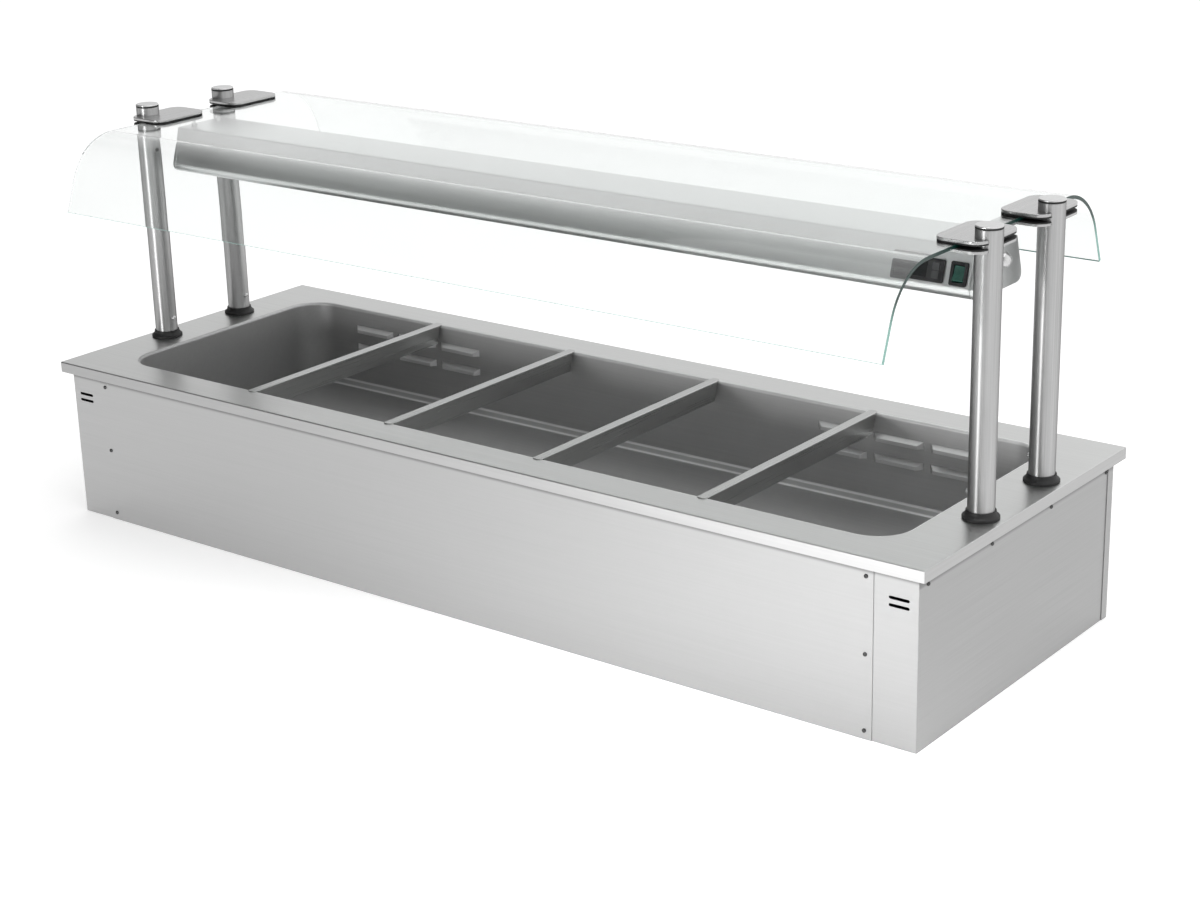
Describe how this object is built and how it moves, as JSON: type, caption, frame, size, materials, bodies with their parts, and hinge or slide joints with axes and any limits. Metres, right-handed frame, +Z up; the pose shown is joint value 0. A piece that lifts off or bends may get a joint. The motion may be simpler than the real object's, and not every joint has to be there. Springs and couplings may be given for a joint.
{
  "type": "drop-in bain marie",
  "caption": "Drop-in heated food well with loose divider bars, louvred fan-heated back wall, and a post-mounted lamp gantry under a bent sneeze-guard glass.",
  "frame": {"origin": "centre of the casing's underside", "axes": "+X along the well to the right, +Y from the front to the back, +Z up"},
  "size_m": [1.87, 0.68, 0.755],
  "materials": {
    "steel_top": "fine brushed",
    "steel_tank": "satin",
    "steel_panel": "brushed",
    "steel_side": "brushed",
    "steel_bar": "satin",
    "steel_tube": "brushed",
    "steel_clamp": "satin",
    "steel_inner": "mill",
    "steel_gantry": "satin",
    "fastener": "bright",
    "black_rubber": "matt",
    "black_plastic": "matt",
    "grey_plastic": "matt",
    "white_plastic": "matt",
    "green_plastic": "gloss",
    "display": "gloss",
    "insulation": "matt",
    "canopy_glass": "clear",
    "reflector": "polished",
    "ceramic": "matt",
    "quartz": "clear"
  },
  "bodies": {
    "housing": {"worktop": "steel_top", "well_tank": "steel_tank", "louvre_plate_left": "steel_tank", "louvre_plate_right": "steel_tank", "front_panel": "steel_panel", "side_panel_left": "steel_side", "side_panel_right": "steel_side", "rear_panel": "steel_side", "base_tray": "steel_inner", "top_frame": "steel_inner", "front_screws": "fastener", "casing_screws": "fastener", "tank_supports": "steel_inner", "floor_insulation": "insulation", "wall_insulation": "insulation", "air_duct_left": "steel_inner", "air_duct_right": "steel_inner", "duct_heaters": "steel_inner", "fan_frames": "black_plastic", "temperature_probe": "steel_inner", "terminal_box": "white_plastic", "cable_gland": "black_rubber", "post_front_left": "steel_tube", "post_front_right": "steel_tube", "post_rear_left": "steel_tube", "post_rear_right": "steel_tube", "post_feet": "steel_inner", "post_plates": "steel_inner", "post_nuts": "fastener", "post_collars": "black_plastic", "post_screws": "fastener", "post_rings": "black_rubber", "post_caps": "steel_tube", "glass_canopy": "canopy_glass", "clamp_plates": "steel_clamp", "clamp_gaskets": "black_rubber", "clamp_jaws": "steel_clamp", "clamp_bolts": "fastener", "gantry_hangers": "fastener", "gantry_body": "steel_gantry", "gantry_end_left": "steel_gantry", "gantry_end_right": "steel_gantry", "gantry_end_bolts": "fastener", "lamp_guard": "steel_gantry", "lamp_reflector": "reflector", "lamp_holders": "ceramic", "quartz_lamps": "quartz", "controller": "black_plastic", "controller_display": "display", "switch_housing": "black_plastic"},
    "divider_1": {"divider_bar_1": "steel_bar"},
    "divider_2": {"divider_bar_2": "steel_bar"},
    "divider_3": {"divider_bar_3": "steel_bar"},
    "divider_4": {"divider_bar_4": "steel_bar"},
    "fan_left": {"fan_impeller_left": "black_plastic"},
    "fan_right": {"fan_impeller_right": "black_plastic"},
    "up_key": {"key_up": "grey_plastic"},
    "down_key": {"key_down": "grey_plastic"},
    "rocker": {"switch_rocker": "green_plastic"}
  },
  "joints": [
    {"name": "divider_1_lift", "type": "slide", "parent": "housing", "child": "divider_1", "axis": [0, 0, 1], "range_m": [0, 0.2]},
    {"name": "divider_2_lift", "type": "slide", "parent": "housing", "child": "divider_2", "axis": [0, 0, 1], "range_m": [0, 0.2]},
    {"name": "divider_3_lift", "type": "slide", "parent": "housing", "child": "divider_3", "axis": [0, 0, 1], "range_m": [0, 0.2]},
    {"name": "divider_4_lift", "type": "slide", "parent": "housing", "child": "divider_4", "axis": [0, 0, 1], "range_m": [0, 0.2]},
    {"name": "fan_left_spin", "type": "hinge", "parent": "housing", "child": "fan_left", "pos_m": [-0.55, 0.27, 0.24], "axis": [0, 1, 0], "continuous": true},
    {"name": "fan_right_spin", "type": "hinge", "parent": "housing", "child": "fan_right", "pos_m": [0.55, 0.27, 0.24], "axis": [0, 1, 0], "continuous": true},
    {"name": "key_up_press", "type": "slide", "parent": "housing", "child": "up_key", "axis": [0, 0.9606, -0.2781], "range_m": [0, 0.0008], "stiffness_N_per_m": 500, "springref_m": -0.0005},
    {"name": "key_down_press", "type": "slide", "parent": "housing", "child": "down_key", "axis": [0, 0.9606, -0.2781], "range_m": [0, 0.0008], "stiffness_N_per_m": 500, "springref_m": -0.0005},
    {"name": "switch_rock", "type": "hinge", "parent": "housing", "child": "rocker", "pos_m": [0.8308, -0.05762, 0.66317], "axis": [1, 0, 0], "range_deg": [0, 20]}
  ]
}
